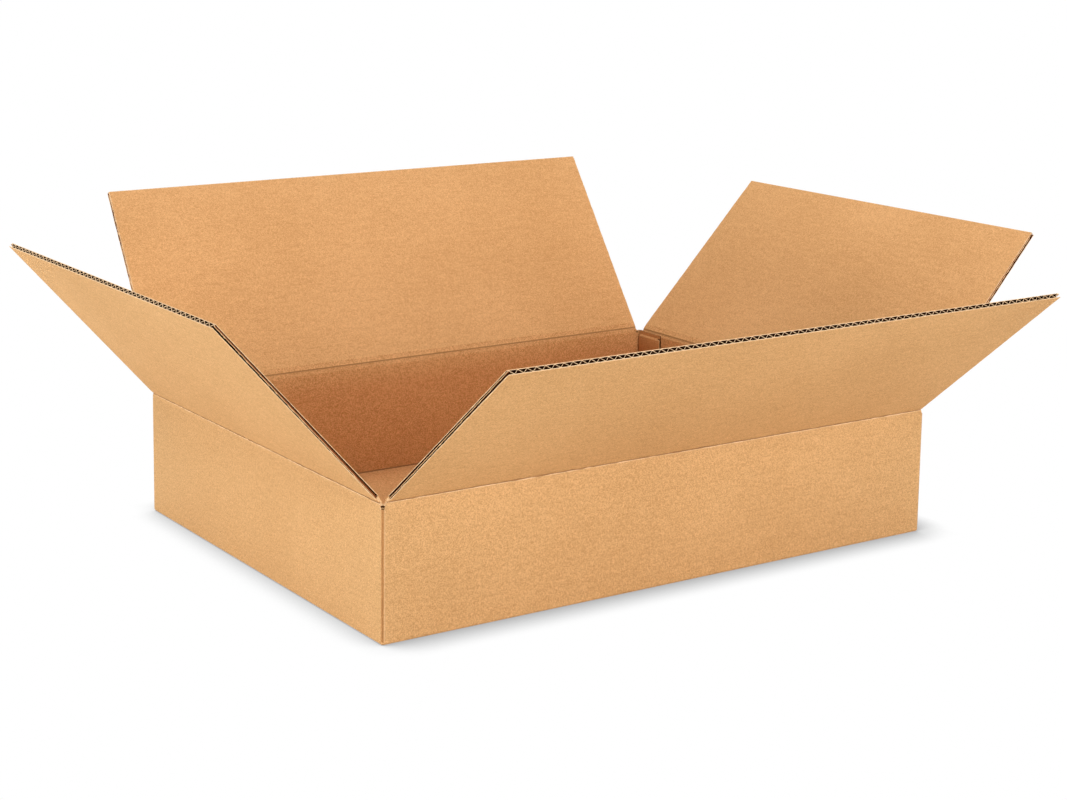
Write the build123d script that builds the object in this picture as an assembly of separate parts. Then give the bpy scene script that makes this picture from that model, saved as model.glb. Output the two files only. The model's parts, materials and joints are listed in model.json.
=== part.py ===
from build123d import *
import os

# Shallow slotted carton of single-wall corrugated board: one scored, slotted sheet, glued into a tube
# at a tab, with its bottom flaps glued shut and its four top flaps standing open.
# Lengths are in millimetres and angles in degrees. The origin is the middle of the base,
# +X runs along the long walls, -Y is the front and +Z is up.

# Carton
inside_length = 559.0
inside_width = 406.0
inside_depth = 100.0
board = 4.0
fold_radius = 2.4
score_bite = 1.2

# Flaps, leaning out from upright
front_angle = 50.0
back_angle = 33.7
left_angle = 42.5
right_angle = 43.5
meeting_gap = 3.0
flap_taper = 3.0
base_seam = 1.0
score_band = 9.0
fold_clearance = 0.3
closing_clearance = 0.25

# Slots beside the flaps, measured along each wall from the outside of the corner.
# The glued corner, at the back right, has a wider one on both of its walls.
slot_on_long_wall = 5.0
slot_on_short_wall = 5.0
glued_slot = 9.5
slot_overcut = 0.4
slot_slope = 3.0

# Glue tab, folded from the back wall on to the inside of the right wall
tab_width = 36.0
tab_thickness = 2.5
tab_drop = 0.3
tab_lift = 1.5
tab_corner = 9.0

# Corrugated section
flute_pitch = 7.9
liner = 0.45
flute_web = 0.35
crest_width = 0.7

# Worked out from the sizes above
outer_length = inside_length + 2 * board
outer_width = inside_width + 2 * board
half_length = outer_length / 2
half_width = outer_width / 2
floor_top = 2 * board
inner_fold_z = floor_top + inside_depth + board
outer_fold_z = inner_fold_z + board / 2 + closing_clearance
front_length = outer_length - 2 * slot_on_long_wall
back_length = outer_length - slot_on_long_wall - glued_slot
left_length = outer_width - 2 * slot_on_short_wall
right_length = outer_width - slot_on_short_wall - glued_slot
back_shift = (glued_slot - slot_on_long_wall) / 2
right_shift = (glued_slot - slot_on_short_wall) / 2
flap_reach = half_width - board / 2 - meeting_gap / 2
slot_z = inner_fold_z - fold_clearance - board - slot_overcut


def prism_along_x(points, length):
    """A bar of this length, centred on X, with its section given as (y, z) points."""
    return extrude(Plane.YZ * Polygon(*points, align=None), amount=length / 2, both=True)


def prism_along_y(points, length):
    """A bar of this length, centred on Y, with its section given as (x, z) points."""
    return extrude(Plane.XZ * Polygon(*points, align=None), amount=length / 2, both=True)


def fluted_section(length, inner_face):
    """Two liners and the fluted sheet between them, across a flap of this length.

    X runs along the crease and Y through the board, with the inner face at Y = inner_face.
    The channels at both ends are cut open, as a slotting knife leaves them.
    """
    flutes = max(1, round(length / flute_pitch))
    pitch = length / flutes
    half_base = (pitch - crest_width) / 2
    inner_paper = inner_face - liner
    outer_paper = inner_face - board + liner
    channels = []
    for flute in range(flutes + 1):
        middle = flute * pitch - length / 2
        channels.append(
            Polygon(
                (middle - half_base, inner_paper),
                (middle, outer_paper + flute_web),
                (middle + half_base, inner_paper),
                align=None,
            )
        )
    for flute in range(flutes):
        middle = flute * pitch + pitch / 2 - length / 2
        channels.append(
            Polygon(
                (middle - half_base, outer_paper),
                (middle + half_base, outer_paper),
                (middle, inner_paper - flute_web),
                align=None,
            )
        )
    sheet = Pos(0, inner_face - board / 2) * Rectangle(length, board)
    return sheet - channels


def upright_flap(length, root, inner_face):
    """A flap standing straight up from its fold line, which is the X axis, with its outer face to -Y.

    The score is crushed board with bevels to the fold line, and the open flutes start above it.
    The ends are cut at a slight slant, so that the flap narrows towards its free edge.
    """
    score = prism_along_x(root, length)
    plate = extrude(fluted_section(length, inner_face), amount=flap_reach - score_band)
    outline = [
        (-length / 2, 0),
        (length / 2, 0),
        (length / 2 - flap_taper, flap_reach),
        (flap_taper - length / 2, flap_reach),
    ]
    return (score + Pos(0, 0, score_band) * plate) & prism_along_y(outline, 4 * board)


def outer_flap(length):
    """A flap of a long wall, which closes last: its fold line is in the middle of the board."""
    half = board / 2
    root = [(0, 0), (half, half), (half, score_band), (-half, score_band), (-half, half)]
    return upright_flap(length, root, half)


def inner_flap(length):
    """A flap of a short wall, which closes first: its fold line is on the outside of the board."""
    root = [(0, 0), (board, board), (board, score_band), (0, score_band)]
    return upright_flap(length, root, board)


def hang(flap, lean_angle, shift, fold_from_middle, fold_z, turn):
    """Lean a flap out, set it on its wall's fold line and turn it to its side of the carton."""
    return Rot(0, 0, turn) * Pos(shift, -fold_from_middle, fold_z) * Rot(lean_angle, 0, 0) * flap


def walls():
    """The four walls up to the slots, with round folds and a score pressed along each upright one."""
    block = Pos(0, 0, slot_z / 2) * Box(outer_length, outer_width, slot_z)
    folds = block.edges().filter_by(Axis.Z) + block.faces().sort_by(Axis.Z)[0].edges()
    block = fillet(folds, fold_radius)
    scores = []
    for corner_x in (-half_length, half_length):
        for corner_y in (-half_width, half_width):
            middle = Pos(corner_x, corner_y, fold_radius + slot_z / 2)
            scores.append(middle * Box(2 * score_bite, 2 * score_bite, slot_z))
    return block - scores - Pos(0, 0, slot_z / 2) * Box(inside_length, inside_width, 2 * slot_z)


def between_slots(length, top):
    """An (along, z) outline from the slots' ends to the flaps' ends, sloping in as the knife cuts it."""
    return [
        (-length / 2 - slot_slope, slot_z),
        (length / 2 + slot_slope, slot_z),
        (length / 2, top),
        (-length / 2, top),
    ]


def long_wall_top(length):
    """The top of the front wall, bevelled from both sides to the fold line of its flap."""
    shoulder = outer_fold_z - fold_clearance - board / 2
    section = [
        (-half_width, slot_z),
        (-half_width + board, slot_z),
        (-half_width + board, shoulder),
        (-half_width + board / 2, shoulder + board / 2),
        (-half_width, shoulder),
    ]
    outline = prism_along_y(between_slots(length, shoulder + board / 2), 2 * outer_width)
    return prism_along_x(section, 2 * outer_length) & outline


def short_wall_top(length):
    """The top of the left wall, bevelled from the inside to the fold line of its flap."""
    fold = inner_fold_z - fold_clearance
    section = [
        (-half_length, slot_z),
        (-half_length + board, slot_z),
        (-half_length + board, fold - board),
        (-half_length, fold),
    ]
    outline = prism_along_x(between_slots(length, fold), 2 * outer_length)
    return prism_along_y(section, 2 * outer_width) & outline


def wall_tops():
    """The walls between the slots, up to the fold lines of the flaps."""
    front = long_wall_top(front_length)
    back = Rot(0, 0, 180) * Pos(back_shift, 0, 0) * long_wall_top(back_length)
    left = short_wall_top(left_length)
    right = Rot(0, 0, 180) * Pos(0, right_shift, 0) * short_wall_top(right_length)
    return [front, back, left, right]


def bottom_flaps():
    """The outer pair lies flat and meets along the middle; the inner pair steps up on to it."""
    outer = [
        (-half_width + board / 2, 0),
        (-base_seam / 2, 0),
        (-base_seam / 2, board),
        (-half_width + board / 2, board),
    ]
    wall = -half_length + board
    step = wall + board
    end = -half_length + flap_reach
    inner = [
        (wall, 0),
        (step, board),
        (end, board),
        (end, floor_top),
        (step, floor_top),
        (wall, board),
    ]
    front = prism_along_x(outer, front_length)
    left = prism_along_y(inner, left_length)
    return [front, Rot(0, 0, 180) * front, left, Rot(0, 0, 180) * left]


def glue_tab():
    """The tab at the back right corner, its free corners cut off at a slant."""
    top = slot_z - tab_drop
    bottom = floor_top + tab_lift
    fold = inside_width / 2
    edge = fold - tab_width
    outline = [
        (fold, bottom),
        (fold, top),
        (edge, top),
        (edge, bottom + tab_corner),
        (edge + tab_corner, bottom),
    ]
    face = Plane.YZ * Polygon(*outline, align=None)
    return Pos(inside_length / 2 - tab_thickness, 0, 0) * extrude(face, amount=tab_thickness)


os.makedirs("parts", exist_ok=True)

carton_body = walls() + wall_tops() + bottom_flaps() + glue_tab()
long_fold = half_width - board / 2
nodes = {
    "carton_body": carton_body,
    "front_flap": hang(outer_flap(front_length), front_angle, 0, long_fold, outer_fold_z, 0),
    "back_flap": hang(outer_flap(back_length), back_angle, back_shift, long_fold, outer_fold_z, 180),
    "left_flap": hang(inner_flap(left_length), left_angle, 0, half_length, inner_fold_z, -90),
    "right_flap": hang(inner_flap(right_length), right_angle, -right_shift, half_length, inner_fold_z, 90),
}
for name, solid in nodes.items():
    export_step(solid, f"parts/{name}.step")
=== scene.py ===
# %% [markdown]
# # An open shipping carton of corrugated board
# A regular slotted carton is one sheet of board. It is scored, slotted, glued into a tube at a tab, and
# closed at the base, and here its four top flaps stand open. The CAD frame gives the sizes and the folds,
# and this lesson gives each board its two paper liners, its fluted paper and its creases.

# %% Frame
import json
import math
import bmesh
import bpy
from mathutils import Matrix, Vector


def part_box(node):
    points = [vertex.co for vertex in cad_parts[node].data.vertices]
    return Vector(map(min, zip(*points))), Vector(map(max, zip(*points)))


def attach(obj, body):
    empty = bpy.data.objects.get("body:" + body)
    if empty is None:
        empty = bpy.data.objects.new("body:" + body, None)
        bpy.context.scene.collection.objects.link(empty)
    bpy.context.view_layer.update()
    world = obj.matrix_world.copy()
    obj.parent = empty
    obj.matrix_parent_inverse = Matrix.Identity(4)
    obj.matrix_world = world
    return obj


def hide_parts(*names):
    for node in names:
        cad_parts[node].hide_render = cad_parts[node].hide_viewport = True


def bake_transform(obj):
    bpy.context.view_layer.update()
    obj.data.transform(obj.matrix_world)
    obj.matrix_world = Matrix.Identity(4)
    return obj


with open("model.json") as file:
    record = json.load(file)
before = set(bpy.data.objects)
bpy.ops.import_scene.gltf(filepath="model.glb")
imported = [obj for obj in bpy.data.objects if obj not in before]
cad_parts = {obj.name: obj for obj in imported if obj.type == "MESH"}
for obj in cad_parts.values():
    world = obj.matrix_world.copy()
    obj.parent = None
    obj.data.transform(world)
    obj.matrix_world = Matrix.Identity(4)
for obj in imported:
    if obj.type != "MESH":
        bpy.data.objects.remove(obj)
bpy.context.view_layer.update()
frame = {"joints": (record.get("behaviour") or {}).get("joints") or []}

folds = {joint["child"]: joint for joint in frame["joints"]}
print("folds:", {name: joint["range_deg"] for name, joint in folds.items()})

# %% [markdown]
# ## Sizes
# The outside of the carton and the lines of its folds come from the frame. They could be typed in again,
# but then the looks could fall out of step with the CAD. Only what the frame doesn't say is written here,
# in metres: the thickness of the board, and how far below the lowest folds the slots between the flaps
# end.

# %% Sizes
board = 0.004
slot_drop = 0.003
_, body_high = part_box("carton_body")
half_length = body_high.x
half_width = body_high.y
slot_top = folds["left_flap"]["pos_m"][2] - slot_drop
print(f"carton {2 * half_length:.3f} x {2 * half_width:.3f} m, slots down to {slot_top:.4f} m")

# %% [markdown]
# ## Working by hand, in code
# An operator acts on all that is selected. By hand you would click on faces, and in code they are found
# by their place and direction. So each new piece starts from an empty selection, and in edit mode `pick`
# selects the vertices, edges or faces that pass a test of their middle and direction. A part of a
# direction that is over 0.9 means that a face or an edge points nearly along that axis.

# %% Helpers for edit mode
def start_cube(name, size, centre):
    """Add a cube, size it in edit mode and stay there."""
    bpy.ops.object.select_all(action="DESELECT")
    bpy.ops.mesh.primitive_cube_add(size=1)
    piece = bpy.context.object
    piece.name = name
    piece.data.name = name
    bpy.ops.object.mode_set(mode="EDIT")
    bpy.ops.transform.resize(value=size)
    bpy.ops.transform.translate(value=centre)
    return piece


def pick(kind, test):
    """Select only what passes test(middle, direction) and say how many that was."""
    bpy.ops.mesh.select_mode(type=kind)
    bpy.ops.mesh.select_all(action="DESELECT")
    mesh = bpy.context.edit_object.data
    shape = bmesh.from_edit_mesh(mesh)
    shape.normal_update()
    found = 0
    if kind == "FACE":
        items = [(face, face.calc_center_median(), face.normal) for face in shape.faces]
    elif kind == "EDGE":
        ends = [(edge, edge.verts[0].co, edge.verts[1].co) for edge in shape.edges]
        items = [(edge, (a + b) / 2, (b - a).normalized()) for edge, a, b in ends]
    else:
        items = [(vert, vert.co, vert.normal) for vert in shape.verts]
    for item, middle, direction in items:
        if test(middle, direction):
            item.select_set(True)
            found += 1
    shape.select_flush_mode()
    bmesh.update_edit_mesh(mesh)
    return found


def near(value, target, slack=1e-5):
    """Are two measures the same but for a little slack?"""
    return abs(value - target) < slack


# %% [markdown]
# ## The walls and the floor
# The tube of the carton has walls one board thick. It could be four plates, but one block with an inset
# top and a pushed-down middle keeps the walls joined at the corners, as the board is. The bottom flaps
# don't quite touch the walls, and the shade in that gap is painted as a dark line along the foot of them.
# The inner walls are cut across there, which gives that painted shade faces of its own to paint later.

# %% Walls
foot_gap = 0.0013
gap_top = board + foot_gap
inside_x = half_length - board + 1e-5
inside_y = half_width - board + 1e-5


def is_inside(middle):
    """Is this the middle of an inner wall or of the floor?"""
    return abs(middle.x) < inside_x and abs(middle.y) < inside_y and middle.z > 1e-4


def on_inner_wall(middle, normal):
    return is_inside(middle) and abs(normal.z) < 0.1


walls = start_cube("carton_walls", (2 * half_length, 2 * half_width, slot_top), (0, 0, slot_top / 2))
pick("FACE", lambda middle, normal: normal.z > 0.9)
bpy.ops.mesh.inset(thickness=board)
bpy.ops.mesh.extrude_region_move(TRANSFORM_OT_translate={"value": (0, 0, board - slot_top)})
print(pick("FACE", on_inner_wall), "inner walls, up to", round(slot_top, 4), "m")
bpy.ops.mesh.bisect(plane_co=(0, 0, gap_top), plane_no=(0, 0, 1))

# %% [markdown]
# ## The upright folds
# The sheet is folded at the four corners and at the foot of the walls, along lines that a scoring wheel
# has pressed in. So a corner isn't sharp: it is a small round with a groove down its middle. A boolean
# could cut the groove, but the bevel that makes the round leaves a row of points along its middle, and
# those only have to be pushed in.

# %% Upright folds
fold_round = 0.0027
score_depth = 0.0007


def at_fold(middle, along):
    on_side_x = near(abs(middle.x), half_length)
    on_side_y = near(abs(middle.y), half_width)
    upright = abs(along.z) > 0.9 and on_side_x and on_side_y
    return upright or (near(middle.z, 0) and (on_side_x or on_side_y))


def in_score(spot, side_x, side_y):
    """Is this point in the middle row of the round at one corner?"""
    from_x = half_length - side_x * spot.x
    from_y = half_width - side_y * spot.y
    return near(from_x, from_y) and from_x < fold_round and spot.z > fold_round


print(pick("EDGE", at_fold), "outer folds")
bpy.ops.mesh.bevel(offset=fold_round, segments=6, profile=0.5, affect="EDGES")
for side_x in (-1, 1):
    for side_y in (-1, 1):
        pressed = pick("VERT", lambda spot, normal: in_score(spot, side_x, side_y))
        bpy.ops.transform.translate(value=(-side_x * score_depth, -side_y * score_depth, 0))
        print(pressed, "points pressed in at a corner")

# %% [markdown]
# ## The glued corner
# A slotting knife cuts between neighbouring flaps and stops just below the folds, so the top of each
# corner is the end of a slot. At the glued corner, at the back right, the slot is wider and ends a little
# higher. That corner could be a piece of its own, but here the rim is cut across twice and the corner's
# part is raised.

# %% Glued corner
glued_slot = 0.0092
glued_rise = 0.0015
glued_top = slot_top + glued_rise


def on_rim(middle, normal):
    return middle.z > slot_top - 1e-5 and normal.z > 0.9


def at_glued_corner(middle):
    return middle.x > half_length - glued_slot and middle.y > half_width - glued_slot


pick("FACE", on_rim)
bpy.ops.mesh.bisect(plane_co=(half_length - glued_slot, 0, 0), plane_no=(1, 0, 0))
pick("FACE", on_rim)
bpy.ops.mesh.bisect(plane_co=(0, half_width - glued_slot, 0), plane_no=(0, 1, 0))
raised = pick("FACE", lambda middle, normal: on_rim(middle, normal) and at_glued_corner(middle))
bpy.ops.mesh.extrude_region_move(TRANSFORM_OT_translate={"value": (0, 0, glued_rise)})
print(raised, "faces raised at the glued corner")

# %% [markdown]
# ## The ends of the slots
# The end of a slot shows the cut board from above, with the crushed flutes open between its two liners. A
# hole through the mesh would have to be bridged again. So the rim is cut at each corner, and an inset and
# a push down leave the liners standing round a pocket. Handling wears the tips of the corners, and the
# outermost points sit a little lower for that.

# %% Slot ends
slot_end = 0.0005
slot_liner = 0.0004
pocket_depth = 0.006
corner_wear = 0.0009


def at_corner(spot, depth):
    """Does a point lie within this depth of the outside of two walls?"""
    return abs(spot.x) > half_length - depth and abs(spot.y) > half_width - depth


for side in (-1, 1):
    pick("FACE", on_rim)
    bpy.ops.mesh.bisect(plane_co=(side * (half_length - board - slot_end), 0, 0), plane_no=(1, 0, 0))
    pick("FACE", on_rim)
    bpy.ops.mesh.bisect(plane_co=(0, side * (half_width - board - slot_end), 0), plane_no=(0, 1, 0))
opened = pick("FACE", lambda middle, normal: on_rim(middle, normal) and at_corner(middle, board + slot_end))
bpy.ops.mesh.inset(thickness=slot_liner)
bpy.ops.mesh.extrude_region_move(TRANSFORM_OT_translate={"value": (0, 0, -pocket_depth)})
worn = pick("VERT", lambda spot, normal: at_corner(spot, fold_round) and near(spot.z, slot_top))
bpy.ops.transform.translate(value=(0, 0, -corner_wear))
print(opened, "faces opened at the slot ends,", worn, "points worn down")

# %% [markdown]
# ## The seam of the base
# The two outer bottom flaps meet along the middle of the base. They could be two plates, but then each
# would need its own join to the walls. So the floor stays whole, and the seam is a groove from above and
# from below: the floor is cut twice, and the strip between the cuts is pushed into the board.

# %% Base seam
seam_width = 0.001
seam_depth = 0.45 * board


def on_floor(middle, normal, height):
    return near(middle.z, height) and abs(normal.z) > 0.9


for height, push in ((board, -seam_depth), (0, seam_depth)):
    for side in (-1, 1):
        pick("FACE", lambda middle, normal: on_floor(middle, normal, height))
        bpy.ops.mesh.bisect(plane_co=(0, side * seam_width / 2, 0), plane_no=(0, 1, 0))
    pick("FACE", lambda middle, normal: on_floor(middle, normal, height) and abs(middle.y) < seam_width / 2)
    bpy.ops.mesh.extrude_region_move(TRANSFORM_OT_translate={"value": (0, 0, push)})
    print("seam cut at height", height)

# %% [markdown]
# ## Closing up a piece
# A finished mesh has no doubled points, its normals point outwards, and it shades smoothly round its
# bends while its cut edges stay crisp. By hand that is Merge by Distance, Recalculate Outside and Shade
# Smooth by Angle. Every piece needs the three, so one helper does them.

# %% Closing up
def close_up(smooth_angle=30):
    """Leave edit mode with doubles merged, normals outward and round stretches smooth."""
    bpy.ops.mesh.select_all(action="SELECT")
    bpy.ops.mesh.remove_doubles(threshold=1e-6)
    bpy.ops.mesh.normals_make_consistent(inside=False)
    bpy.ops.object.mode_set(mode="OBJECT")
    bpy.ops.object.shade_smooth_by_angle(angle=math.radians(smooth_angle))
    piece = bpy.context.object
    print(piece.name, len(piece.data.polygons), "faces")


close_up(smooth_angle=40)

# %% [markdown]
# ## Noise for paper
# Kraft liner is unbleached wood fibre: a warm brown with soft clouds, a mottle of fibres about a
# millimetre long and a few dark flecks. An image could give this, but noise in object space has no seam
# and runs on across the pieces, since all of them keep their origin at the origin of the carton. These
# helpers make a noise, stretch the space that it is read in, and add several of them up.

# %% Noise
def noise(tree, vector, scale, detail, roughness):
    node = tree.nodes.new("ShaderNodeTexNoise")
    node.inputs["Scale"].default_value = scale
    node.inputs["Detail"].default_value = detail
    node.inputs["Roughness"].default_value = roughness
    tree.links.new(vector, node.inputs["Vector"])
    return node.outputs["Fac"]


def stretched(tree, vector, stretch):
    node = tree.nodes.new("ShaderNodeMapping")
    node.inputs["Scale"].default_value = stretch
    tree.links.new(vector, node.inputs["Vector"])
    return node.outputs["Vector"]


def sum_of(tree, parts):
    """Add noises, each times its own weight, about a half."""
    total = None
    for value, weight in parts:
        centred = tree.nodes.new("ShaderNodeMath")
        centred.operation = "SUBTRACT"
        centred.inputs[1].default_value = 0.5
        tree.links.new(value, centred.inputs[0])
        scaled = tree.nodes.new("ShaderNodeMath")
        scaled.operation = "MULTIPLY_ADD"
        scaled.inputs[1].default_value = weight
        tree.links.new(centred.outputs[0], scaled.inputs[0])
        if total is not None:
            tree.links.new(total, scaled.inputs[2])
        else:
            scaled.inputs[2].default_value = 0.5
        total = scaled.outputs[0]
    return total


# %% [markdown]
# ## Painted shade inside
# The inside of the walls is redder and darker than the flaps, more so than bounced light alone makes it.
# The rest is painted shade. A second paper with a hard edge would show a line, so a shade tint is mixed
# in that grows down the first centimetres of the wall. It reads the height of a point in object space.

# %% Painted shade with depth
painted_shade_depth = 0.024


def with_painted_shade(tree, place, colour, shade_tint):
    """A colour that takes painted shade, deeper down the inside of the walls."""
    axes = tree.nodes.new("ShaderNodeSeparateXYZ")
    tree.links.new(place, axes.inputs["Vector"])
    depth = tree.nodes.new("ShaderNodeMapRange")
    depth.interpolation_type = "SMOOTHSTEP"
    depth.inputs["From Min"].default_value = slot_top + board
    depth.inputs["From Max"].default_value = slot_top - painted_shade_depth
    tree.links.new(axes.outputs["Z"], depth.inputs["Value"])
    mix = tree.nodes.new("ShaderNodeMix")
    mix.data_type = "RGBA"
    mix.blend_type = "MULTIPLY"
    tree.links.new(depth.outputs["Result"], mix.inputs["Factor"])
    tree.links.new(colour, mix.inputs["A"])
    mix.inputs["B"].default_value = (*shade_tint, 1)
    return mix.outputs["Result"]


# %% [markdown]
# ## A kraft paper
# Soft clouds, streaks along the sheet, fibres and a fine grain are added up, and the sum picks a tone
# between dark and pale on a colour ramp. The two finest also raise the surface a little through a bump
# node. Real bumps in the mesh would take millions of faces and look no better from here.

# %% Kraft paper
def kraft(name, tones, shade_tint=None, gloss=0.25, contrast=1.0, relief=0.0005):
    """A paper whose colour runs with its fibres through three tones, from dark to pale."""
    material = bpy.data.materials.new(name)
    material.use_nodes = True
    tree = material.node_tree
    shader = tree.nodes["Principled BSDF"]
    shader.inputs["Roughness"].default_value = 0.88
    shader.inputs["Specular IOR Level"].default_value = gloss
    place = tree.nodes.new("ShaderNodeTexCoord").outputs["Object"]
    clouds = noise(tree, place, scale=7, detail=3, roughness=0.5)
    fibres = noise(tree, place, scale=420, detail=4, roughness=0.7)
    grain = noise(tree, place, scale=1100, detail=1, roughness=0.5)
    along_sheet = stretched(tree, place, (60, 60, 420))
    streaks = noise(tree, along_sheet, scale=1, detail=4, roughness=0.6)
    fine = [(fibres, 0.45 * contrast), (grain, 0.7 * contrast)]
    mottle = sum_of(tree, [(clouds, 0.26), (streaks, 0.25)] + fine)
    ramp = tree.nodes.new("ShaderNodeValToRGB")
    stops = ramp.color_ramp.elements
    stops[0].position = 0.25
    stops[1].position = 0.75
    stops.new(0.5)
    for stop, tone in zip(stops, tones):
        stop.color = (*tone, 1)
    tree.links.new(mottle, ramp.inputs["Fac"])
    colour = ramp.outputs["Color"]
    # painted shade, growing down the inside of the walls
    if shade_tint:
        colour = with_painted_shade(tree, place, colour, shade_tint)
    tree.links.new(colour, shader.inputs["Base Color"])
    bump = tree.nodes.new("ShaderNodeBump")
    bump.inputs["Strength"].default_value = 0.5
    bump.inputs["Distance"].default_value = relief
    tree.links.new(sum_of(tree, [(fibres, 0.6), (grain, 0.8)]), bump.inputs["Height"])
    tree.links.new(bump.outputs["Normal"], shader.inputs["Normal"])
    print("paper:", name)
    return material


# %% [markdown]
# ## The two liners and the tab
# The outer liner is a little yellower and shinier than the inner one, and the tab's darker tones are painted
# shade in its corner. They could share one paper under coloured light, but tones read off each side give a
# closer match. The inner tones are used twice: plain on the flaps, and with painted shade inside the carton.

# %% Liner papers
outer_tones = ((0.51, 0.286, 0.109), (0.64, 0.38, 0.163), (0.785, 0.495, 0.234))
inner_tones = ((0.53, 0.268, 0.095), (0.66, 0.36, 0.147), (0.81, 0.465, 0.212))
tab_shade_tones = ((0.44, 0.20, 0.068), (0.55, 0.275, 0.105), (0.68, 0.36, 0.155))
outer_kraft = kraft("outer_kraft", outer_tones, gloss=0.5, contrast=1.45, relief=0.0007)
inner_kraft = kraft("inner_kraft", inner_tones, contrast=1.2)
inside_kraft = kraft("inside_kraft", inner_tones, shade_tint=(0.92, 0.82, 0.77), contrast=2.0)
tab_kraft = kraft("tab_kraft", tab_shade_tones, shade_tint=(0.80, 0.62, 0.50))

# %% [markdown]
# ## Creased, cut and fluted paper
# Creases and scores are painted darker, as painted shade, a scuffed edge is paler, and freshly cut or torn
# fibre is paler still; the torn flanks lie in shade and are brighter and warmer again, as painted light. The
# flutes lie in shadow, reddish in the first channel and nearly black further in. Light alone would need a
# great many bounces to find its way into such narrow channels, so their papers are painted shade themselves.

# %% Painted shade, worn and cut papers
crease_shade_tones = ((0.28, 0.14, 0.055), (0.36, 0.19, 0.08), (0.46, 0.26, 0.115))
score_shade_tones = ((0.42, 0.22, 0.085), (0.52, 0.28, 0.11), (0.62, 0.35, 0.15))
edge_tones = ((0.60, 0.38, 0.19), (0.72, 0.47, 0.25), (0.80, 0.56, 0.33))
cut_tones = ((0.72, 0.48, 0.26), (0.85, 0.60, 0.36), (0.92, 0.70, 0.46))
torn_lit_tones = ((0.88, 0.53, 0.25), (0.95, 0.63, 0.33), (0.98, 0.71, 0.42))
channel_shade_tones = ((0.30, 0.085, 0.025), (0.38, 0.115, 0.034), (0.48, 0.155, 0.05))
flute_shade_tones = ((0.03, 0.011, 0.004), (0.055, 0.02, 0.008), (0.09, 0.035, 0.014))
crease_kraft = kraft("crease_kraft", crease_shade_tones)
score_kraft = kraft("score_kraft", score_shade_tones)
edge_kraft = kraft("edge_kraft", edge_tones)
cut_kraft = kraft("cut_kraft", cut_tones)
torn_kraft = kraft("torn_kraft", torn_lit_tones)
channel_kraft = kraft("channel_kraft", channel_shade_tones)
flute_kraft = kraft("flute_kraft", flute_shade_tones, gloss=0)

# %% [markdown]
# ## Painting the walls
# The sheet shows one liner outside and the other inside, with painted shade growing down the inner walls,
# pale fibre along its cut rim and a dark line of painted shade at the foot of the walls. Each look could be
# a mesh of its own, but material slots keep the walls one piece. A piece is given all its papers, and then
# tests of place and normal say which faces take which. A later paper covers an earlier one.

# %% Liners of the walls
rim_slack = 0.001


def paint(piece, *materials):
    """Give a piece its materials, the first of them on every face."""
    piece.data.materials.clear()
    for material in materials:
        piece.data.materials.append(material)


def paint_faces(piece, material, test):
    """Put one of a piece's materials on the faces whose middle and normal pass the test."""
    index = piece.data.materials.find(material.name)
    painted = 0
    for face in piece.data.polygons:
        if test(face.center, face.normal):
            face.material_index = index
            painted += 1
    print(piece.name, painted, "faces in", material.name)


paint(walls, outer_kraft, inside_kraft, cut_kraft, flute_kraft, score_kraft, crease_kraft, edge_kraft)
# the inner walls and the floor take the inside paper with its painted shade
paint_faces(walls, inside_kraft, lambda middle, normal: is_inside(middle))
paint_faces(walls, cut_kraft, lambda middle, normal: near(middle.z, slot_top, rim_slack) and normal.z > 0.3)
# painted shade: a dark line at the foot of the inner walls
paint_faces(walls, crease_kraft, lambda middle, normal: on_inner_wall(middle, normal) and middle.z < gap_top)

# %% [markdown]
# ## Painting the corners
# The pockets in the slot ends are painted near black, and the pressed groove of an upright fold and the
# top of the raised glued corner are painted darker than the wall, all of it painted shade. On the long walls
# a thin pale strip runs beside the groove, where the liner is stretched and scuffed. A texture could draw
# these lines, but the bevel has made narrow rows of faces in the right places already.

# %% Corners of the walls
pocket_margin = 0.0003
pocket_slack = 0.0005
hairline = 0.0001


def in_pocket(middle, normal):
    """Is this a face between the two liners of a slot end?"""
    past_liner = half_length - abs(middle.x) > pocket_margin and half_width - abs(middle.y) > pocket_margin
    in_board = abs(middle.x) > inside_x + pocket_margin or abs(middle.y) > inside_y + pocket_margin
    top = glued_top if at_glued_corner(middle) else slot_top
    return past_liner and in_board and top - pocket_depth - pocket_slack < middle.z < top - hairline


def is_upright(middle, normal):
    return abs(normal.z) < 0.3 and middle.z > fold_round


def beside_score(middle, normal):
    """Is this the first, hairline row of a fold's round, on a long wall?"""
    in_round = abs(middle.x) > half_length - fold_round
    return is_upright(middle, normal) and in_round and 1e-6 < half_width - abs(middle.y) < hairline


def in_upright_score(middle, normal):
    from_outside = min(half_length - abs(middle.x), half_width - abs(middle.y))
    return is_upright(middle, normal) and at_corner(middle, board - 1e-5) and from_outside > hairline


# painted shade: the pockets of the slot ends near black
paint_faces(walls, flute_kraft, in_pocket)
paint_faces(walls, edge_kraft, beside_score)
# painted shade: the rounds of the upright folds darker
paint_faces(walls, score_kraft, in_upright_score)
# painted shade on the top of the raised glued corner
paint_faces(walls, score_kraft, lambda middle, normal: near(middle.z, glued_top))
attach(walls, "carton")
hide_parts("carton_body")

# %% [markdown]
# ## The glue tab
# The sheet ends in a tab that is glued inside the corner at the back right. It is pressed flatter than
# the board, and its free corner is cut at a slant. The scoring wheel ran over its top, so that part is
# pressed thin, and the closed flap has room in front of it. A boolean could take this away, but two cuts
# and a moved row of points give the step its slope.

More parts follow.
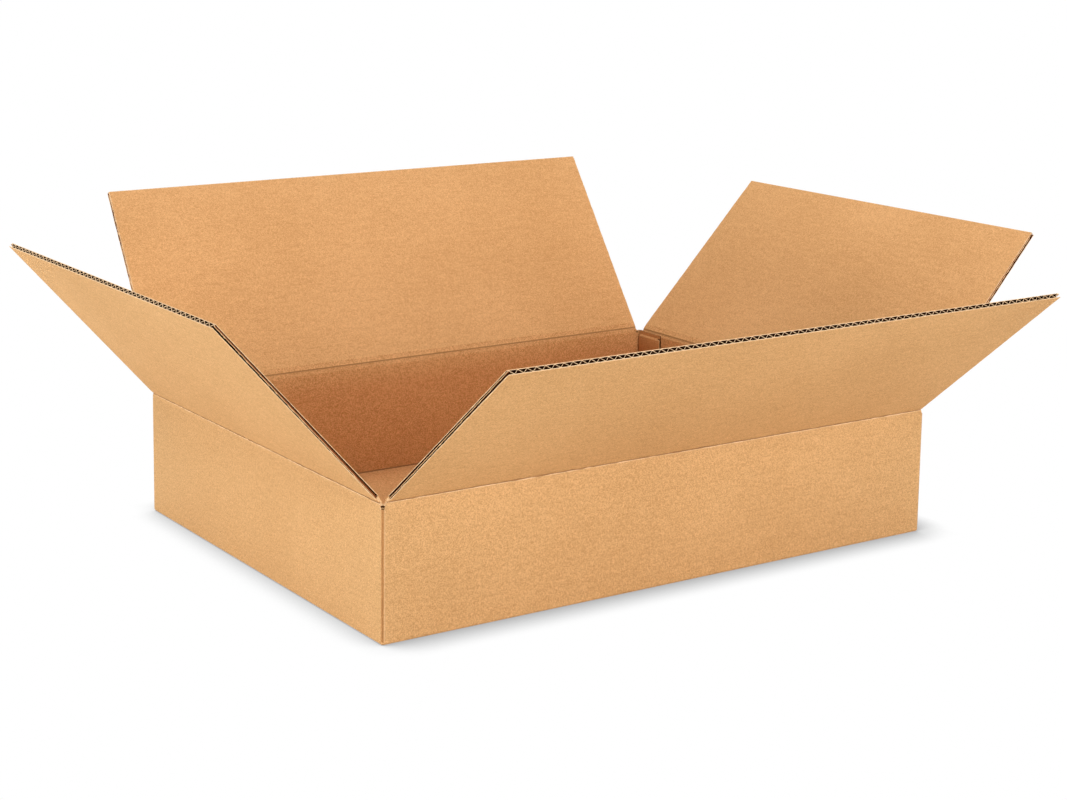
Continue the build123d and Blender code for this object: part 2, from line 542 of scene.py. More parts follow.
# %% Glue tab
score_band = 0.005
floor_top = 2 * board
flap_room = 0.0003
tab_width = 0.036
tab_fold = 0.002
tab_thickness = 0.0025
tab_corner = 0.009
tab_lift = 0.0015
tab_rise = 0.0006
tab_low = floor_top + tab_lift
tab_high = glued_top + tab_rise
tab_face = half_length - board - tab_thickness
tab_edge = half_width - board - tab_width
tab_size = (tab_thickness, tab_width - tab_fold, tab_high - tab_low)
tab_y = half_width - board - (tab_width + tab_fold) / 2
tab = start_cube("glue_tab", tab_size, (tab_face + tab_thickness / 2, tab_y, (tab_low + tab_high) / 2))
press = tab_thickness - (score_band - board - flap_room)
pressed_from = folds["right_flap"]["pos_m"][2] - board - flap_room
for height in (pressed_from - press, pressed_from):
    bpy.ops.mesh.select_all(action="SELECT")
    bpy.ops.mesh.bisect(plane_co=(0, 0, height), plane_no=(0, 0, 1))
pick("VERT", lambda spot, normal: near(spot.x, tab_face) and spot.z > pressed_from - 1e-4)
bpy.ops.transform.translate(value=(press, 0, 0))
pick("EDGE", lambda middle, along: near(middle.y, tab_edge) and near(middle.z, tab_low))
bpy.ops.mesh.bevel(offset=tab_corner, segments=1, affect="EDGES")
print(f"tab pressed by {1000 * press:.1f} mm above {pressed_from:.4f} m")

# %% [markdown]
# ## The open edge of the tab
# At the tab's free edge the front liner shows as a pale line, with a dark gap between it and the wall.
# The gap could be painted on, but light from the side would then fall on it. So the edge is cut just
# behind the liner, and the rest is pushed back. Its faces are painted near black as well, as painted shade,
# and so are the top and the back end of the tab, where the top would otherwise catch the light.

# %% Edge of the tab
liner = 0.00045
tab_liner = tab_face + 2 * liner
tab_gap = 0.003
tab_round = 0.0003
pick("FACE", lambda middle, normal: normal.y < -0.5 and middle.z < pressed_from)
bpy.ops.mesh.bisect(plane_co=(tab_liner, 0, 0), plane_no=(1, 0, 0))


def behind_tab_liner(middle, normal):
    return normal.y < -0.5 and middle.x > tab_liner and middle.z < pressed_from


print(pick("FACE", behind_tab_liner), "faces of the tab's open edge")
bpy.ops.mesh.extrude_region_move(TRANSFORM_OT_translate={"value": (0, tab_gap, 0)})
pick("EDGE", lambda middle, along: near(middle.x, tab_face))
bpy.ops.mesh.bevel(offset=tab_round, segments=2, affect="EDGES")
close_up()
gap_end = tab_edge + tab_gap + 1e-4
# the tab's paper is darker as painted shade in its corner; its gap, top and back end are near black as
# painted shade
paint(tab, tab_kraft, inner_kraft, flute_kraft)
paint_faces(tab, inner_kraft, lambda middle, normal: normal.y < -0.5)
paint_faces(tab, flute_kraft, lambda middle, normal: middle.x > tab_liner and middle.y < gap_end)
paint_faces(tab, flute_kraft, lambda middle, normal: normal.y > 0.5 or normal.z > 0.9)
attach(tab, "carton")

# %% [markdown]
# ## One flute
# At the cut edges of the flaps you look into the board: a pale liner on each side and a zigzag of fluted
# paper between them. A long zigzag could be drawn and extruded, but what repeats is better modelled once.
# A flute is a grid two faces wide and stood upright, with its middle row moved to the inner liner and its
# sides to the outer one. Rounding a crest will lower it, so the rows go further by that loss.

# %% One flute
medium = 0.00028
meeting_gap = 0.003
flap_reach = half_width - board / 2 - meeting_gap / 2
flute_height = flap_reach - score_band
flute_steps = 28
crest_round = 0.0010
print(f"flaps {flap_reach:.4f} m long, open flutes {flute_height:.4f} m")


def settle(piece, lean=0.0, turn=0.0, place=(0, 0, 0)):
    """Lean a piece about X, turn it about Z, move it to its place and apply that to its mesh."""
    bpy.ops.object.select_all(action="DESELECT")
    piece.select_set(True)
    bpy.context.view_layer.objects.active = piece
    piece.rotation_euler = (math.radians(lean), 0, math.radians(turn))
    piece.location = place
    bpy.ops.object.transform_apply(location=True, rotation=True, scale=True)


def one_flute(name, pitch, crest_x, middle_y):
    """One fold of the fluted paper, upright, with its crest towards the inner liner."""
    room = board - 2 * liner - medium
    slope = math.atan2(room, pitch / 2)
    crest_loss = crest_round * math.tan(math.pi / 2 - slope) * (1 / math.cos(slope) - 1)
    bpy.ops.object.select_all(action="DESELECT")
    bpy.ops.mesh.primitive_grid_add(x_subdivisions=2, y_subdivisions=flute_steps, size=1)
    piece = bpy.context.object
    piece.name = name
    piece.data.name = name
    bpy.ops.object.mode_set(mode="EDIT")
    bpy.ops.transform.resize(value=(pitch, flute_height, 1))
    bpy.ops.object.mode_set(mode="OBJECT")
    settle(piece, lean=90, place=(crest_x, middle_y, score_band + flute_height / 2))
    bpy.ops.object.mode_set(mode="EDIT")
    pick("VERT", lambda spot, normal: near(spot.x, crest_x))
    bpy.ops.transform.translate(value=(0, room / 2 + crest_loss, 0))
    pick("VERT", lambda spot, normal: not near(spot.x, crest_x))
    bpy.ops.transform.translate(value=(0, -room / 2 - crest_loss, 0))
    bpy.ops.object.mode_set(mode="OBJECT")
    return piece


# %% [markdown]
# ## A row of flutes
# An array repeats the flute along the flap, and a bevel rounds the crests, as the fluting rolls do. A
# flap narrows a little towards its free edge, and the row is drawn in by half as much, step by step. So
# the slanted cut at an end crosses the last flute slowly, and its torn edge wanders from one liner to the
# other.

# %% Row of flutes
flap_taper = 0.003
flute_follow = 0.5


def apply_modifier(piece, kind, **settings):
    """Add a modifier with these settings and apply it."""
    modifier = piece.modifiers.new(kind.lower(), kind)
    for key, value in settings.items():
        setattr(modifier, key, value)
    bpy.ops.object.modifier_apply(modifier=modifier.name)


def repeat_flute(piece, flutes, pitch, mean_length):
    """Repeat a flute along a flap, round its crests and draw the row in. It stays in edit mode."""
    apply_modifier(
        piece,
        "ARRAY",
        count=flutes,
        use_relative_offset=False,
        use_constant_offset=True,
        constant_offset_displace=(pitch, 0, 0),
        use_merge_vertices=True,
        merge_threshold=1e-5,
    )
    bpy.ops.object.mode_set(mode="EDIT")
    row_end = flutes * pitch / 2 - 1e-4
    pick("EDGE", lambda middle, along: abs(along.z) > 0.99 and abs(middle.x) < row_end)
    bpy.ops.mesh.bevel(offset=crest_round, segments=3, profile=0.5, affect="EDGES")
    for step in range(flute_steps + 1):
        level = score_band + flute_height * step / flute_steps
        pick("VERT", lambda spot, normal: near(spot.z, level, 1e-4))
        narrow = 1 + flute_follow * flap_taper * (1 - 2 * level / flap_reach) / mean_length
        bpy.ops.transform.resize(value=(narrow, 1, 1), center_override=(0, 0, level))


# %% [markdown]
# ## Cut and torn ends
# The slotting knife cuts both ends of a flap at a slight slant and leaves the paper ragged. A boolean
# with a wedge could cut it, but a bisect that clears its outer side does the same and is quicker. The new
# edges are then split and their points scattered. The seed is fixed, so that they scatter alike in every
# run.

# %% Cut ends
def past_end(spot, length):
    """How far a point lies outside the slanted cut at its end of a flap."""
    return abs(spot.x) - length / 2 + flap_taper * spot.z / flap_reach


def cut_plane(length, end, inset=0.0):
    """A point and a normal of the slanted cut at one end of an upright flap, or of a plane inside it."""
    slant = math.atan2(flap_taper, flap_reach)
    return (end * (length / 2 - inset), 0, 0), (end * math.cos(slant), 0, math.sin(slant))


def trim_ends(length, fill):
    """Cut both ends of an upright piece to the slant of the slots."""
    for end in (-1, 1):
        bpy.ops.mesh.select_all(action="SELECT")
        spot, across = cut_plane(length, end)
        bpy.ops.mesh.bisect(plane_co=spot, plane_no=across, clear_outer=True, use_fill=fill)


def fray_ends(length, cuts, amount, seed):
    """Split the cut edges at both ends of an upright piece and scatter their new points."""
    pick("EDGE", lambda middle, along: abs(along.z) > 0.9 and past_end(middle, length) > -1e-5)
    bpy.ops.mesh.subdivide(number_cuts=cuts)
    pick("VERT", lambda spot, normal: past_end(spot, length) > -1e-5 and spot.z > score_band + 1e-4)
    bpy.ops.transform.vertex_random(offset=amount, seed=seed)


# %% [markdown]
# ## The fluted paper of a flap
# The row is trimmed and frayed as a thin skin, and a solidify modifier then gives it the thickness of
# paper. Thick paper from the start would fray through its faces. Its cut rims are pale, fresh fibre, so
# it is cut across just inside them to give the pale paper faces of its own. The fluted paper is painted
# shade, near black inside the board and reddish near the ends of the flap, where some light reaches the
# flutes. Its torn flank at each end is pale fibre made brighter and warmer as painted light.

# %% Fluted paper
flute_pitch = 0.0079
pale_depth = 0.0005
pale_flank = 0.0004
end_channel = 0.003
torn_gap = 0.0005
torn_cuts = 3
torn_seed = 7


def fluted_paper(name, length, outer_face, cut_share):
    """The zigzag between the liners, upright, with its fold line on the X axis."""
    mean_length = length - flap_taper
    flutes = round(mean_length / flute_pitch + cut_share)
    pitch = mean_length / (flutes - cut_share)
    piece = one_flute(name, pitch, -flutes * pitch / 2 + pitch / 2, outer_face + board / 2)
    repeat_flute(piece, flutes, pitch, mean_length)
    trim_ends(length, fill=False)
    bpy.ops.mesh.select_all(action="SELECT")
    bpy.ops.mesh.bisect(plane_co=(0, 0, flap_reach - pale_depth), plane_no=(0, 0, 1))
    for end in (-1, 1):
        bpy.ops.mesh.select_all(action="SELECT")
        spot, across = cut_plane(length, end, pale_flank)
        bpy.ops.mesh.bisect(plane_co=spot, plane_no=across)
    fray_ends(length, torn_cuts, torn_gap, torn_seed)
    bpy.ops.transform.translate(value=(0, torn_gap / 3, 0))
    bpy.ops.object.mode_set(mode="OBJECT")
    apply_modifier(piece, "SOLIDIFY", thickness=medium, offset=0, use_even_offset=True)
    bpy.ops.object.mode_set(mode="EDIT")
    close_up(smooth_angle=50)
    paint(piece, flute_kraft, cut_kraft, torn_kraft, channel_kraft)
    # painted shade, reddish in the last channel and near black further in; painted light on the torn flank
    paint_faces(piece, channel_kraft, lambda middle, normal: past_end(middle, length) > -end_channel)
    paint_faces(piece, torn_kraft, lambda middle, normal: past_end(middle, length) > -pale_flank)
    paint_faces(piece, cut_kraft, lambda middle, normal: middle.z > flap_reach - pale_depth)
    print(name, flutes, "flutes of", round(pitch * 1000, 2), "mm")
    return piece


# %% [markdown]
# ## The liners
# A liner is a flat paper, and the slotting knife leaves its side edges a little ragged. A thin sheet
# would crumple when its points are scattered. So a thick block is trimmed and frayed first, and then
# pressed flat to the thickness of the paper, which keeps the raggedness in the plane. A narrow scuffed
# margin is paler, the cut faces take the colour of fresh fibre, and the side towards the flutes is painted
# dark, as painted shade.

# %% Liners
scuff_width = 0.0006
liner_fray = 0.0003
liner_cuts = 45
liner_seed = 3
rim_round = 0.00012


def liner_paper(name, length, near_face, outward, paper):
    """A liner from the score to the free edge of a flap, facing outward on the side given by its sign."""
    piece = start_cube(name, (length, 1, flute_height), (0, 0, score_band + flute_height / 2))
    trim_ends(length, fill=True)
    fray_ends(length, liner_cuts, liner_fray, liner_seed)
    bpy.ops.mesh.select_all(action="SELECT")
    bpy.ops.transform.resize(value=(1, liner, 1), center_override=(0, 0, 0))
    bpy.ops.transform.translate(value=(0, near_face + liner / 2, 0))
    pick("FACE", lambda middle, normal: abs(normal.y) > 0.9)
    bpy.ops.mesh.inset(thickness=scuff_width)
    pick("EDGE", lambda middle, along: abs(along.x) > 0.9 and middle.z > flap_reach - 1e-5)
    bpy.ops.mesh.bevel(offset=rim_round, segments=2, affect="EDGES")
    close_up()
    paint_liner(piece, length, outward, paper)
    return piece


def paint_liner(piece, length, outward, paper):
    """Paper on the face of a liner, pale fibre round its edges and painted shade on the side of the flutes.
    """
    rim = flap_reach - 1.01 * scuff_width
    # painted shade on the side of the flutes: reddish near the ends of the outer liner, near black elsewhere
    margin_paper = channel_kraft if outward < 0 else flute_kraft

    def in_margin(middle, normal):
        return middle.z > rim or past_end(middle, length) > -scuff_width

    def to_flutes(middle, normal):
        return normal.y * outward < -0.9

    def well_inside(middle, normal):
        return to_flutes(middle, normal) and past_end(middle, length) < -1.01 * scuff_width

    paint(piece, paper, cut_kraft, edge_kraft, flute_kraft, channel_kraft)
    paint_faces(piece, edge_kraft, in_margin)
    paint_faces(piece, cut_kraft, lambda middle, normal: abs(normal.y) < 0.9)
    paint_faces(piece, margin_paper, lambda middle, normal: to_flutes(middle, normal) and middle.z < rim)
    paint_faces(piece, flute_kraft, well_inside)


# %% [markdown]
# ## Where a fold bends
# A score is a line where the board is crushed so that it bends. The flap leans out, so the outer liner is
# pinched into a crease, and the inner liner runs round a soft bend about that crease. The faces of a fold
# are found by their distance and angle from the crease. Each test could work these out again, but a small
# class keeps them together for one fold, whose fold line is the X axis.

# %% Bend of a fold
slot_slope = 0.0036


class Bend:
    """The crease and the bend of one fold, and measures taken from them."""

    def __init__(self, length, outer_face, lean, fold_z):
        self.length = length
        self.outer_face = outer_face
        self.angle = math.radians(lean)
        half_angle = self.angle / 2
        self.bottom = slot_top - fold_z
        self.crease_z = outer_face * math.tan(half_angle)
        self.run = score_band + self.crease_z
        self.up_flap = Vector((0, -math.sin(self.angle), math.cos(self.angle)))
        self.across = Vector((0, -math.sin(half_angle), math.cos(half_angle)))
        self.inward = Vector((0, math.cos(half_angle), math.sin(half_angle)))

    def offset(self, spot):
        """From the crease to a point, square to the crease."""
        return Vector((0, spot.y - self.outer_face, spot.z - self.crease_z))

    def from_crease(self, spot):
        return self.offset(spot).length

    def above_crease(self, spot):
        """How far a point lies on the flap's side of the bend."""
        return self.offset(spot).dot(self.across)

    def up_from_crease(self, spot):
        """How far up the flap a point lies."""
        return self.offset(spot).dot(self.up_flap)

    def from_middle(self, spot):
        """The share of the bend between a point and the middle of it, from 0 to 0.5."""
        offset = self.offset(spot)
        return abs(math.atan2(offset.z, offset.y) - self.angle / 2) / self.angle

    def behind_cut(self, spot):
        """How far a point lies behind the cut end, which slopes out to the slot below the crease."""
        flare = slot_slope * max(0, self.crease_z - spot.z) / (self.crease_z - self.bottom)
        return self.length / 2 + flare - abs(spot.x)


# %% [markdown]
# ## Bent board
# The fold is the top of the wall, the bend and the foot of the flap in one piece. An armature could bend
# a straight strip, but spinning the top face about the crease gives the bend its true radius, and an
# extrusion carries it on up the flap. The strip is split along its length first, so that it can be made
# ragged later.

# %% Bent board
crease_step = 0.0045
bend_steps = 8


def bent_board(name, bend):
    """A strip of board from the slots to the open flutes, bent about its crease. It stays in edit mode."""
    size = (bend.length, board, bend.crease_z - bend.bottom)
    piece = start_cube(name, size, (0, bend.outer_face + board / 2, (bend.crease_z + bend.bottom) / 2))
    pick("EDGE", lambda middle, along: abs(along.x) > 0.9)
    bpy.ops.mesh.subdivide(number_cuts=round(bend.length / crease_step))
    pick("FACE", lambda middle, normal: normal.z > 0.9)
    crease = (0, bend.outer_face, bend.crease_z)
    bpy.ops.mesh.spin(steps=bend_steps, angle=-bend.angle, center=crease, axis=(1, 0, 0))
    bpy.ops.mesh.extrude_region_move(TRANSFORM_OT_translate={"value": bend.up_flap * bend.run})
    bpy.ops.mesh.select_all(action="SELECT")
    bpy.ops.mesh.remove_doubles(threshold=1e-6)
    return piece


# %% [markdown]
# ## The ends of a fold
# Below the crease the knife's cut slopes out to the end of the slot, and its face shows crushed board set
# in between two liners. The slope could be a bevel, but then the set-in face would be lost, so an inset
# makes the face first and the points below the crease are moved out after it. A level cut marks off the
# open flute at the foot.

# %% Ends of a fold
end_liner = 0.0004
end_sink = 0.0006
end_reach = 0.001
slot_flare = 0.001
open_flute = 0.0016


def slope_ends(bend):
    """Set in both cut ends of a fold and slope them out to the ends of the slots."""
    for end in (-1, 1):
        def below_flap(spot, normal):
            at_end = spot.x * end > bend.length / 2 - end_reach
            return at_end and bend.up_from_crease(spot) < bend.run - 1e-3

        def at_foot(spot, normal):
            at_end = spot.x * end > bend.length / 2 - end_reach
            return at_end and spot.z < bend.bottom + 5e-4

        pick("FACE", lambda middle, normal: normal.x * end > 0.9)
        bpy.ops.mesh.inset(thickness=end_liner, depth=-end_sink, use_even_offset=False)
        pick("VERT", below_flap)
        bpy.ops.transform.translate(value=(end * slot_flare, 0, 0))
        pick("VERT", at_foot)
        bpy.ops.transform.translate(value=(end * (slot_slope - slot_flare), 0, 0))
    bpy.ops.mesh.select_all(action="SELECT")
    bpy.ops.mesh.bisect(plane_co=(0, 0, bend.bottom + open_flute), plane_no=(0, 0, 1))


# %% [markdown]
# ## The crease outside
# The outer liner is pinched into a ragged line, with painted shade under the flap and a paler strip on the
# wall. A straight painted line would look printed, so the edge is bevelled, its faces are given their papers
# while they can still be told apart, the upper row is pushed in, and the points of the crease are
# scattered.

# %% Outer crease
crease_width = 0.0009
crease_depth = 0.0005
crease_lift = 0.0006
ragged = 0.0004


def pinch_crease(piece, bend, seed):
    """Press the outer liner of a fold into a ragged crease."""
    def on_crease(middle, along):
        return abs(along.x) > 0.9 and bend.from_crease(middle) < 1e-5

    def in_crease(spot):
        return bend.from_crease(spot) < 0.99 * crease_width

    print(piece.name, pick("EDGE", on_crease), "crease edges")
    bpy.ops.mesh.bevel(offset=crease_width, segments=3, affect="EDGES")
    # a paler strip on the wall side, then painted shade on the flap side
    for material, lowest in ((cut_kraft, -crease_width), (crease_kraft, -0.2 * crease_width)):
        pick("FACE", lambda middle, normal: in_crease(middle) and bend.above_crease(middle) > lowest)
        piece.active_material_index = piece.data.materials.find(material.name)
        bpy.ops.object.material_slot_assign()
    pick("VERT", lambda spot, normal: in_crease(spot) and bend.above_crease(spot) > 0)
    bpy.ops.transform.translate(value=bend.inward * crease_depth)
    pick("VERT", lambda spot, normal: bend.from_crease(spot) < 1.05 * crease_width)
    bpy.ops.transform.translate(value=bend.across * crease_lift)
    bpy.ops.transform.vertex_random(offset=ragged, seed=seed)


# %% [markdown]
# ## The groove inside
# Inside, the scoring wheel has crushed the board to a shallow trough with a groove along its middle. The
# bend could be spun with a smaller radius, but then it would leave the faces of wall and flap. So the
# rows of the bend are pressed in after the spin, all of them a little and the middle ones more.

# %% Inner groove
crushed = 0.0012
groove_depth = 0.0006
groove_presses = ((0.51, crushed), (0.30, groove_depth / 2), (0.12, groove_depth / 2))


def press_groove(bend):
    """Press the inner liner of a fold in, in rows that get nearer to the middle of the bend."""
    def in_trough(spot, reach):
        return bend.from_crease(spot) > 0.7 * board and bend.from_middle(spot) < reach

    for reach, depth in groove_presses:
        pick("VERT", lambda spot, normal: in_trough(spot, reach))
        bpy.ops.transform.translate(value=-bend.inward * depth)


# %% [markdown]
# ## A scored fold
# The steps come together here, and the rest of the fold is painted: inner liner, trough and groove, and pale
# cut ends with crushed board between. The inner liner takes painted shade down the wall, the trough and
# groove are darker as painted shade, and the set-in crushed board and the open flute at the foot are
# painted dark as shade. The fold is a piece of its own, because its points have to follow both wall and
# flap when the flap turns. A hard seam at the fold would open there.

# %% Scored fold
end_face = 0.0002
foot_liner = 0.0003
trough_share = 0.5
groove_share = 0.28


def paint_fold(piece, bend):
    """Paint the inside and the ends of a fold, with painted shade in its trough, groove, set-in ends and
    open flute.
    """
    def on_inner_liner(middle, normal, reach):
        return normal.dot(bend.inward) > 0.5 and bend.from_middle(middle) < reach

    def in_open_flute(middle, normal):
        above_foot = middle.z - bend.bottom
        return bend.behind_cut(middle) < end_reach and foot_liner < above_foot < open_flute

    paint_faces(piece, inside_kraft, lambda middle, normal: on_inner_liner(middle, normal, math.inf))
    paint_faces(piece, score_kraft, lambda middle, normal: on_inner_liner(middle, normal, trough_share))
    paint_faces(piece, crease_kraft, lambda middle, normal: on_inner_liner(middle, normal, groove_share))
    paint_faces(piece, edge_kraft, lambda middle, normal: abs(normal.x) > 0.5)
    paint_faces(piece, score_kraft, lambda middle, normal: end_face < bend.behind_cut(middle) < end_reach)
    paint_faces(piece, flute_kraft, in_open_flute)


def scored_fold(name, length, outer_face, lean, fold_z, seed):
    """The top of a wall, its bend and the foot of its flap, with the fold line on the X axis."""
    bend = Bend(length, outer_face, lean, fold_z)
    piece = bent_board(name, bend)
    slope_ends(bend)
    paint(piece, outer_kraft, inside_kraft, crease_kraft, cut_kraft, flute_kraft, score_kraft, edge_kraft)
    pinch_crease(piece, bend, seed)
    press_groove(bend)
    close_up(smooth_angle=50)
    paint_fold(piece, bend)
    return piece


# %% [markdown]
# ## Four flaps
# The flaps of the long walls fold about the middle of the board and close last. Those of the short walls
# fold about its outer face and close first. Each could be modelled in its leaning place, but it is easier
# to find faces on an upright piece on the X axis. So a flap is leaned out and turned to its side at the
# end, with its length and its place along the wall read from the frame.

# %% Flaps
# For each flap: its turn in degrees, its outer face, and the share of a flute that the slots cut off.
sides = {
    "front_flap": (0, -board / 2, 0.45),
    "back_flap": (180, -board / 2, 0.35),
    "left_flap": (-90, 0.0, 0.28),
    "right_flap": (90, 0.0, 0.35),
}
first_seed = 10


def copy_of(piece, name):
    """A copy with a mesh of its own."""
    twin = piece.copy()
    twin.data = piece.data.copy()
    twin.name = name
    twin.data.name = name
    bpy.context.scene.collection.objects.link(twin)
    return twin


for side, (turn, outer_face, cut_share) in sides.items():
    flap_low, flap_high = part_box(side)
    along = Vector((math.cos(math.radians(turn)), math.sin(math.radians(turn)), 0))
    length = abs((flap_high - flap_low).dot(along))
    middle_along = (flap_high + flap_low).dot(along) / 2
    place = Vector(folds[side]["pos_m"]) + along * middle_along
    lean = -folds[side]["range_deg"][0] - 90
    flutes = fluted_paper(f"{side}_flutes", length, outer_face, cut_share)
    outer = liner_paper(f"{side}_outer_liner", length, outer_face, -1, outer_kraft)
    inner = liner_paper(f"{side}_inner_liner", length, outer_face + board - liner, 1, inner_kraft)
    if side == "left_flap":
        bottom_layers = [copy_of(piece, f"spare_{piece.name}") for piece in (flutes, outer, inner)]
    for piece in (flutes, outer, inner):
        settle(piece, lean, turn, place)
        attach(piece, side)
    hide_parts(side)
    fold = scored_fold(f"{side}_fold", length, outer_face, lean, place.z, seed=first_seed + abs(turn))
    settle(fold, 0, turn, place)
    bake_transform(fold)
    print(side, round(length, 4), "m long, leans", lean, "degrees")

# %% [markdown]
# ## Steps of the inner bottom flaps
# The two short bottom flaps lie inside, on the outer pair, so each steps up by one board as it leaves its
# wall. The step could be bent like the top folds, but it is nearly hidden. A block with one side raised,
# and its edges rounded, is enough.

# %% Base steps
step_run = 0.005
step_room = 0.002
step_round = 0.0006


def base_step(name, turn):
    """The slope from the foot of a short wall up to the top of its bottom flap."""
    inner_wall = -half_length + board
    size = (2 * (half_width - board) - step_room, step_run, board)
    step = start_cube(name, size, (0, inner_wall + step_run / 2, board / 2))
    pick("VERT", lambda spot, normal: near(spot.y, inner_wall + step_run))
    bpy.ops.transform.translate(value=(0, 0, board))
    pick("EDGE", lambda middle, along: abs(along.x) > 0.9)
    bpy.ops.mesh.bevel(offset=step_round, segments=2, affect="EDGES")
    close_up()
    # the step takes the inside paper with its painted shade
    paint(step, inside_kraft)
    settle(step, 0, turn)
    return step


# %% [markdown]
# ## The inner bottom flaps
# They end well apart, so their fluted ends show from above. They are the same board as the short top
# flaps and could be modelled anew, but the upright layers of the left flap were kept for this. The spare
# layers are shortened to start at the step, and copies of them are laid down on both sides.

# %% Inner bottom flaps
base_layers = ("base_flutes", "base_upper_liner", "base_lower_liner")
shorten = (flap_reach - board - step_run) / (flap_reach - score_band)
for layer in bottom_layers:
    bpy.ops.object.select_all(action="DESELECT")
    bpy.context.view_layer.objects.active = layer
    bpy.ops.object.mode_set(mode="EDIT")
    bpy.ops.mesh.select_all(action="SELECT")
    bpy.ops.transform.resize(value=(1, 1, shorten), center_override=(0, 0, flap_reach))
    bpy.ops.object.mode_set(mode="OBJECT")
for side, turn in (("left", -90), ("right", 90)):
    step = base_step(f"{side}_base_step", turn)
    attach(step, "carton")
    for piece, name in zip(bottom_layers, base_layers):
        layer = copy_of(piece, f"{side}_{name}")
        # the laid-down layers take the inside paper with its painted shade
        for index, material in enumerate(layer.data.materials):
            if material in (outer_kraft, inner_kraft, edge_kraft):
                layer.data.materials[index] = inside_kraft
        settle(layer, -90, 0, (0, -half_length, floor_top))
        settle(layer, 0, turn)
        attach(layer, "carton")
    print(side, "bottom flap laid down")
for spare in bottom_layers:
    bpy.data.objects.remove(spare)

# %% [markdown]
# ## The floor
# The carton stands on a white sweep that shows no edge, with a soft shadow close to its foot. A plain
# white floor would turn grey away from the lamps. So to the camera the floor glows white, dimmed only
# where an ambient occlusion node finds the carton near, and to all other rays it is a warm white paper
# that sends light back up. The occlusion looks a little to the left, where the floor is open, so the
# shadow falls to the right.

# %% Floor
shadow_reach = 0.042
darkest_shadow = 0.48
bpy.ops.object.select_all(action="DESELECT")
bpy.ops.mesh.primitive_plane_add(size=30)
floor = bpy.context.object
floor.name = "studio_floor"
white = bpy.data.materials.new("studio_white")
white.use_nodes = True
tree = white.node_tree
paper = tree.nodes["Principled BSDF"]
paper.inputs["Base Color"].default_value = (0.86, 0.80, 0.70, 1)
paper.inputs["Roughness"].default_value = 0.9
nearby = tree.nodes.new("ShaderNodeAmbientOcclusion")
nearby.samples = 16
nearby.inputs["Distance"].default_value = shadow_reach
open_side = tree.nodes.new("ShaderNodeCombineXYZ")
open_side.inputs["X"].default_value = -0.35
open_side.inputs["Z"].default_value = 0.94
tree.links.new(open_side.outputs["Vector"], nearby.inputs["Normal"])
shadow = tree.nodes.new("ShaderNodeMapRange")
shadow.inputs["From Min"].default_value = 0.5
shadow.inputs["From Max"].default_value = 0.93
shadow.inputs["To Min"].default_value = darkest_shadow
tree.links.new(nearby.outputs["AO"], shadow.inputs["Value"])
glow = tree.nodes.new("ShaderNodeEmission")
tree.links.new(shadow.outputs["Result"], glow.inputs["Strength"])
floor_sight = tree.nodes.new("ShaderNodeLightPath")
choice = tree.nodes.new("ShaderNodeMixShader")
tree.links.new(floor_sight.outputs["Is Camera Ray"], choice.inputs["Fac"])
tree.links.new(paper.outputs["BSDF"], choice.inputs[1])
tree.links.new(glow.outputs["Emission"], choice.inputs[2])
tree.links.new(choice.outputs["Shader"], tree.nodes["Material Output"].inputs["Surface"])
floor.data.materials.append(white)
print(floor.name, "with shadows within", shadow_reach, "m")

# %% [markdown]
# ## The room
# The photograph has a pure white ground and even light from all round. A world that is bright enough to
# look white would wash out every shadow, so the world is white to the camera and much dimmer as a light.

# %% White room
sky_light = 0.27
world = bpy.context.scene.world or bpy.data.worlds.new("studio")
bpy.context.scene.world = world
world.use_nodes = True
sky = world.node_tree
sky_sight = sky.nodes.new("ShaderNodeLightPath")
sky_level = sky.nodes.new("ShaderNodeMapRange")
sky_level.inputs["To Min"].default_value = sky_light
sky_level.inputs["To Max"].default_value = 1.0
sky.links.new(sky_sight.outputs["Is Camera Ray"], sky_level.inputs["Value"])
sky.nodes["Background"].inputs["Color"].default_value = (1, 1, 1, 1)
sky.links.new(sky_level.outputs["Result"], sky.nodes["Background"].inputs["Strength"])
print("room light", sky_light)

# %% [markdown]
# ## The lamps
# Four large soft lamps stand round the carton. The one above lights the floor and the flaps, the low one
# at the left lights the short wall, the one behind lights the open flaps from the back, and a slightly
# warm one in front lights the long wall. A sun lamp would give hard shadows, and the photograph has none.

# %% Lamps
lamp_target = Vector((0, 0, 0.1))


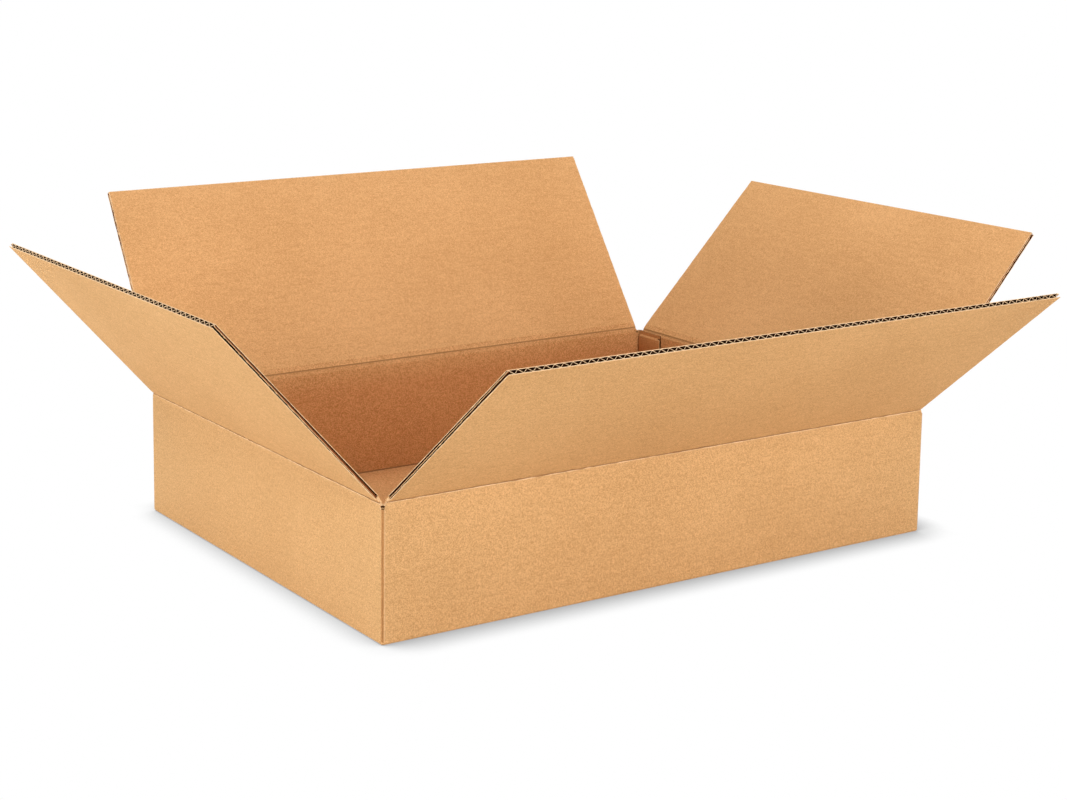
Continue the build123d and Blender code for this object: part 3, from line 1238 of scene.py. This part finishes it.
def soft_lamp(name, place, size, power, colour=(1, 1, 1)):
    """A rectangular lamp that faces the carton."""
    bpy.ops.object.light_add(type="AREA", location=place)
    lamp = bpy.context.object
    lamp.name = name
    lamp.data.shape = "RECTANGLE"
    lamp.data.size = size[0]
    lamp.data.size_y = size[1]
    lamp.data.energy = power
    lamp.data.color = colour
    lamp.rotation_euler = (lamp_target - lamp.location).to_track_quat("-Z", "Y").to_euler()
    print(name, power, "W")


soft_lamp("top_lamp", place=(0, 0, 3.0), size=(2.5, 2.5), power=56)
soft_lamp("left_lamp", place=(-4.0, 0.3, 0.35), size=(3.0, 0.6), power=98)
soft_lamp("back_lamp", place=(2.4, 3.0, 0.8), size=(2.0, 1.2), power=45)
soft_lamp("front_lamp", place=(-0.2, -3.5, 1.1), size=(1.5, 1.5), power=73, colour=(1, 0.95, 0.93))

# %% [markdown]
# ## The camera
# The camera stands where the photographer's did. It could be placed by eye, but here it was worked out
# from the corners of the carton in the picture: its place, heading, pitch and roll, its lens in pixels,
# and the pixel that the lens points at. That pixel isn't the middle of the picture, so the lens is
# shifted as well.

# %% Camera
photo_width, photo_height = 1067, 800
focal_pixels = 2106.4
view_centre = (429.8, 217.4)
camera_place = (-1.07593, -1.52983, 0.57735)
heading, pitch, roll = 32.203, 9.005, 0.402
camera_data = bpy.data.cameras.new("photo_camera")
camera = bpy.data.objects.new("photo_camera", camera_data)
bpy.context.scene.collection.objects.link(camera)
camera_data.sensor_width = 36
camera_data.lens = focal_pixels * camera_data.sensor_width / photo_width
camera_data.shift_x = (photo_width / 2 - view_centre[0]) / photo_width
camera_data.shift_y = (view_centre[1] - photo_height / 2) / photo_width
aim = Matrix.Rotation(math.radians(-heading), 4, "Z") @ Matrix.Rotation(math.radians(90 - pitch), 4, "X")
camera.matrix_world = Matrix.Translation(camera_place) @ aim @ Matrix.Rotation(math.radians(roll), 4, "Z")
bpy.context.scene.camera = camera
bpy.context.scene.view_settings.view_transform = "Standard"
print(f"lens {camera_data.lens:.1f} mm")
